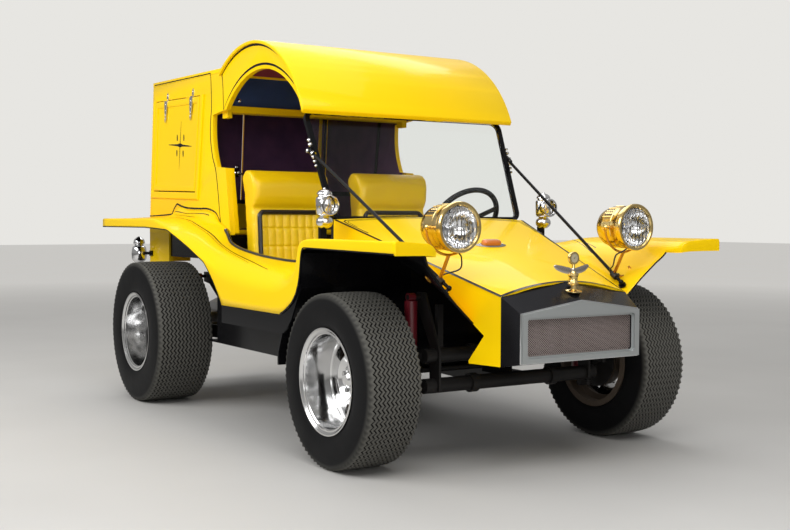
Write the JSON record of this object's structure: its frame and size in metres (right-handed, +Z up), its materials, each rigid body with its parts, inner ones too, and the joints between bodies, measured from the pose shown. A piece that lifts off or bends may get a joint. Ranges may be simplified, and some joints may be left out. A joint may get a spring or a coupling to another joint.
{
  "type": "dune buggy",
  "caption": "Short open fibreglass buggy with a wedge nose, shelf fenders, wide slotted wheels, a curved canopy and a tall delivery box behind its seats.",
  "frame": {"origin": "on the ground, midway across the wheels and midway between the nose's bead and the rear fenders' ends", "axes": "+Z up, -Y forward (the way it drives), +X to the vehicle's left"},
  "size_m": [1.716, 3.285, 1.8366],
  "materials": {
    "yellow_gelcoat": "gloss yellow gelcoat",
    "black_panel": "gloss black",
    "black_steel": "semi-gloss black paint",
    "maroon_steel": "gloss maroon paint",
    "alloy": "cast",
    "exhaust_steel": "satin",
    "black_plastic": "satin",
    "satin_silver": "satin",
    "brass": "polished",
    "chrome": "polished",
    "amber_plastic": "gloss amber lens on a plated base",
    "glass": "clear, lightly tinted",
    "yellow_vinyl": "yellow vinyl with black piping",
    "tyre": "black rubber",
    "polished_alloy": "polished"
  },
  "bodies": {
    "chassis": {"cab_side_left": "yellow_gelcoat", "cab_side_right": "yellow_gelcoat", "cargo_box": "yellow_gelcoat", "controls": "black_plastic", "cowl_lamps": "chrome", "cross_bar": "yellow_gelcoat", "dash": "black_panel", "engine": "alloy", "exhaust": "exhaust_steel", "floor_pan": "black_panel", "front_arms": "black_steel", "front_beam": "black_steel", "front_shocks": "maroon_steel", "grille_mesh": "satin_silver", "head_panel": "black_panel", "headlights": "brass", "hood_lamp": "amber_plastic", "inner_panels": "black_panel", "nose_body": "yellow_gelcoat", "nose_ornament": "brass", "radiator_shell": "satin_silver", "rear_axle": "black_steel", "rear_body": "yellow_gelcoat", "rear_shocks": "maroon_steel", "roof": "yellow_gelcoat", "seat_left": "yellow_vinyl", "seat_right": "yellow_vinyl", "side_body_left": "yellow_gelcoat", "side_body_right": "yellow_gelcoat", "stay_rods": "black_steel", "steering_column": "black_steel", "tail_lamps": "chrome", "windshield_frame": "black_steel", "windshield_glass": "glass"},
    "front_left_wheel": {"tyre_front_left": "tyre", "rim_front_left": "polished_alloy"},
    "front_right_wheel": {"tyre_front_right": "tyre", "rim_front_right": "polished_alloy"},
    "rear_left_wheel": {"tyre_rear_left": "tyre", "rim_rear_left": "polished_alloy"},
    "rear_right_wheel": {"tyre_rear_right": "tyre", "rim_rear_right": "polished_alloy"},
    "knuckle_left": {"knuckle_left": "black_steel"},
    "knuckle_right": {"knuckle_right": "black_steel"},
    "pitman": {"pitman_arm": "black_steel"},
    "tie_rod_left": {"tie_rod_left": "black_steel"},
    "tie_rod_right": {"tie_rod_right": "black_steel"},
    "steering_wheel": {"steering_wheel": "black_plastic"},
    "hatch_left": {"side_hatch_left": "yellow_gelcoat"},
    "hatch_right": {"side_hatch_right": "yellow_gelcoat"},
    "door_left": {"box_door_left": "yellow_gelcoat"},
    "door_right": {"box_door_right": "yellow_gelcoat"}
  },
  "joints": [
    {"name": "steering_wheel_turn", "type": "hinge", "parent": "chassis", "child": "steering_wheel", "pos_m": [0.33, -0.4075, 0.975], "axis": [0, 0.8192, 0.5735], "range_deg": [-350, 350]},
    {"name": "left_kingpin", "type": "hinge", "parent": "chassis", "child": "knuckle_left", "pos_m": [0.555, -1.0575, 0.347], "axis": [0, 0, 1], "range_deg": [-25.01, 25.01]},
    {"name": "right_kingpin", "type": "hinge", "parent": "chassis", "child": "knuckle_right", "pos_m": [-0.555, -1.0575, 0.347], "axis": [0, 0, 1], "range_deg": [-25.01, 25.01]},
    {"name": "pitman_turn", "type": "hinge", "parent": "chassis", "child": "pitman", "pos_m": [0.33, -1.0575, 0.4], "axis": [0, 0, 1], "range_deg": [-25.01, 25.01]},
    {"name": "left_tie_rod_end", "type": "hinge", "parent": "knuckle_left", "child": "tie_rod_left", "pos_m": [0.555, -1.1575, 0.378], "axis": [0, 0, 1], "range_deg": [-25.01, 25.01]},
    {"name": "right_tie_rod_end", "type": "hinge", "parent": "knuckle_right", "child": "tie_rod_right", "pos_m": [-0.555, -1.1575, 0.378], "axis": [0, 0, 1], "range_deg": [-25.01, 25.01]},
    {"name": "front_left_spin", "type": "hinge", "parent": "knuckle_left", "child": "front_left_wheel", "pos_m": [0.69, -1.0575, 0.347], "axis": [1, 0, 0], "continuous": true},
    {"name": "front_right_spin", "type": "hinge", "parent": "knuckle_right", "child": "front_right_wheel", "pos_m": [-0.69, -1.0575, 0.347], "axis": [1, 0, 0], "continuous": true},
    {"name": "rear_left_spin", "type": "hinge", "parent": "chassis", "child": "rear_left_wheel", "pos_m": [0.703, 0.9725, 0.375], "axis": [1, 0, 0], "continuous": true},
    {"name": "rear_right_spin", "type": "hinge", "parent": "chassis", "child": "rear_right_wheel", "pos_m": [-0.703, 0.9725, 0.375], "axis": [1, 0, 0], "continuous": true},
    {"name": "left_hatch_hinge", "type": "hinge", "parent": "chassis", "child": "hatch_left", "pos_m": [0.576, 1.0445, 1.643], "axis": [0, -0.9995, -0.0309], "range_deg": [0, 85]},
    {"name": "right_hatch_hinge", "type": "hinge", "parent": "chassis", "child": "hatch_right", "pos_m": [-0.576, 1.0445, 1.643], "axis": [0, 0.9995, 0.0309], "range_deg": [0, 85]},
    {"name": "left_door_hinge", "type": "hinge", "parent": "chassis", "child": "door_left", "pos_m": [0.524, 1.46382, 1.39368], "axis": [0, 0.0862, -0.9963], "range_deg": [0, 100]},
    {"name": "right_door_hinge", "type": "hinge", "parent": "chassis", "child": "door_right", "pos_m": [-0.524, 1.46382, 1.39368], "axis": [0, -0.0862, 0.9963], "range_deg": [0, 100]}
  ],
  "couplings": [
    {"joint": "left_kingpin", "follows": "steering_wheel_turn", "ratio": 0.071429},
    {"joint": "right_kingpin", "follows": "steering_wheel_turn", "ratio": 0.071429},
    {"joint": "pitman_turn", "follows": "steering_wheel_turn", "ratio": 0.071429},
    {"joint": "left_tie_rod_end", "follows": "steering_wheel_turn", "ratio": -0.071429},
    {"joint": "right_tie_rod_end", "follows": "steering_wheel_turn", "ratio": -0.071429}
  ]
}
